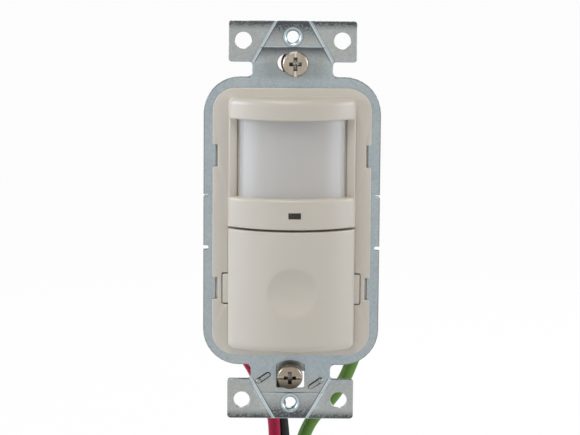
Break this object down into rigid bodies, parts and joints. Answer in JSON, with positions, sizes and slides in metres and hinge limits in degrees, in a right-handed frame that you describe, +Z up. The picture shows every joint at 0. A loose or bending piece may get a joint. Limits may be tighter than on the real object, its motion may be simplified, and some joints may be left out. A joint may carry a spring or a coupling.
{
  "type": "motion sensor light switch",
  "caption": "Wall-mounted occupancy light switch with a steel mounting strap, crowned sensor window, push button, sealed back housing and free hanging leads.",
  "frame": {"origin": "On the wall plane, the back of the mounting strap, half way between its two wall-plate screw holes", "axes": "+Z up the wall, -Y out of the wall toward the person using it, +X to the right seen from the front"},
  "size_m": [0.046, 0.0369, 0.236],
  "materials": {
    "zinc_steel": "bright zinc plating with a fine speckle",
    "almond_plastic": "smooth light almond moulding",
    "milky_lens": "milky sheet, fine grooves on its inner side",
    "white_plastic": "satin",
    "smoked_window": "polished smoked plastic",
    "ivory_housing": "fine moulded texture",
    "screw_steel": "bright nickel-toned plating",
    "board_green": "green solder mask on glass fibre board",
    "board_tan": "bare paper board",
    "can_metal": "drawn nickel-plated can",
    "dark_filter": "polished dark infrared filter",
    "black_plastic": "satin black",
    "clear_lamp": "clear epoxy",
    "blue_plastic": "glossy blue",
    "blue_sleeve": "shrunk sleeve",
    "yellow_plastic": "glossy yellow case",
    "dark_ferrite": "ferrite core with a taped winding",
    "white_ceramic": "glazed ceramic",
    "red_fibre": "red fibre",
    "clip_steel": "plain plated spring steel",
    "red_insulation": "smooth crimson insulation",
    "black_insulation": "smooth black insulation",
    "green_insulation": "smooth green insulation",
    "copper": "bare copper strands"
  },
  "bodies": {
    "switch_frame": {"mounting_strap": "zinc_steel", "front_cover": "almond_plastic", "sensor_lens": "milky_lens", "lens_retainer": "white_plastic", "indicator_window": "smoked_window", "back_housing": "ivory_housing", "housing_screws": "screw_steel", "control_board": "board_green", "detector_can": "can_metal", "detector_filter": "dark_filter", "detector_shroud": "black_plastic", "indicator_lamp": "clear_lamp", "light_sensor": "clear_lamp", "controller_chip": "black_plastic", "switch_body": "black_plastic", "time_trimmer": "blue_plastic", "light_trimmer": "blue_plastic", "board_link": "black_plastic", "power_board": "board_tan", "relay": "black_plastic", "smoothing_capacitor": "blue_sleeve", "film_capacitor": "yellow_plastic", "transformer": "dark_ferrite", "surge_disc": "blue_plastic", "fuse": "white_ceramic", "ground_clip": "clip_steel", "ground_terminal": "clip_steel", "ground_rivet": "clip_steel", "red_lead": "red_insulation", "black_lead": "black_insulation", "green_lead": "green_insulation", "bare_ends": "copper"},
    "button": {"push_button": "almond_plastic"},
    "plunger": {"switch_plunger": "black_plastic"},
    "time_setting": {"time_dial": "white_plastic"},
    "light_setting": {"light_dial": "white_plastic"},
    "top_screw": {"top_box_screw": "screw_steel", "top_screw_washer": "red_fibre"},
    "bottom_screw": {"bottom_box_screw": "screw_steel"}
  },
  "joints": [
    {"name": "button_press", "type": "slide", "parent": "switch_frame", "child": "button", "axis": [0, 1, 0], "range_m": [0, 0.0006], "stiffness_N_per_m": 1000, "springref_m": -0.001},
    {"name": "plunger_press", "type": "slide", "parent": "switch_frame", "child": "plunger", "axis": [0, 1, 0], "range_m": [0, 0.0006]},
    {"name": "time_dial_turn", "type": "hinge", "parent": "switch_frame", "child": "time_setting", "pos_m": [-0.0084, 0, -0.0256], "axis": [0, 1, 0], "range_deg": [-135, 135]},
    {"name": "light_dial_turn", "type": "hinge", "parent": "switch_frame", "child": "light_setting", "pos_m": [0.0084, 0, -0.0256], "axis": [0, 1, 0], "range_deg": [-135, 135]},
    {"name": "top_screw_turn", "type": "hinge", "parent": "switch_frame", "child": "top_screw", "pos_m": [0.0007, 0, 0.0415], "axis": [0, 1, 0], "continuous": true},
    {"name": "bottom_screw_turn", "type": "hinge", "parent": "switch_frame", "child": "bottom_screw", "pos_m": [-0.0001, -0.0026, -0.04065], "axis": [0, 0.9848, 0.1736], "continuous": true}
  ],
  "couplings": [
    {"joint": "plunger_press", "follows": "button_press", "ratio": 1}
  ]
}
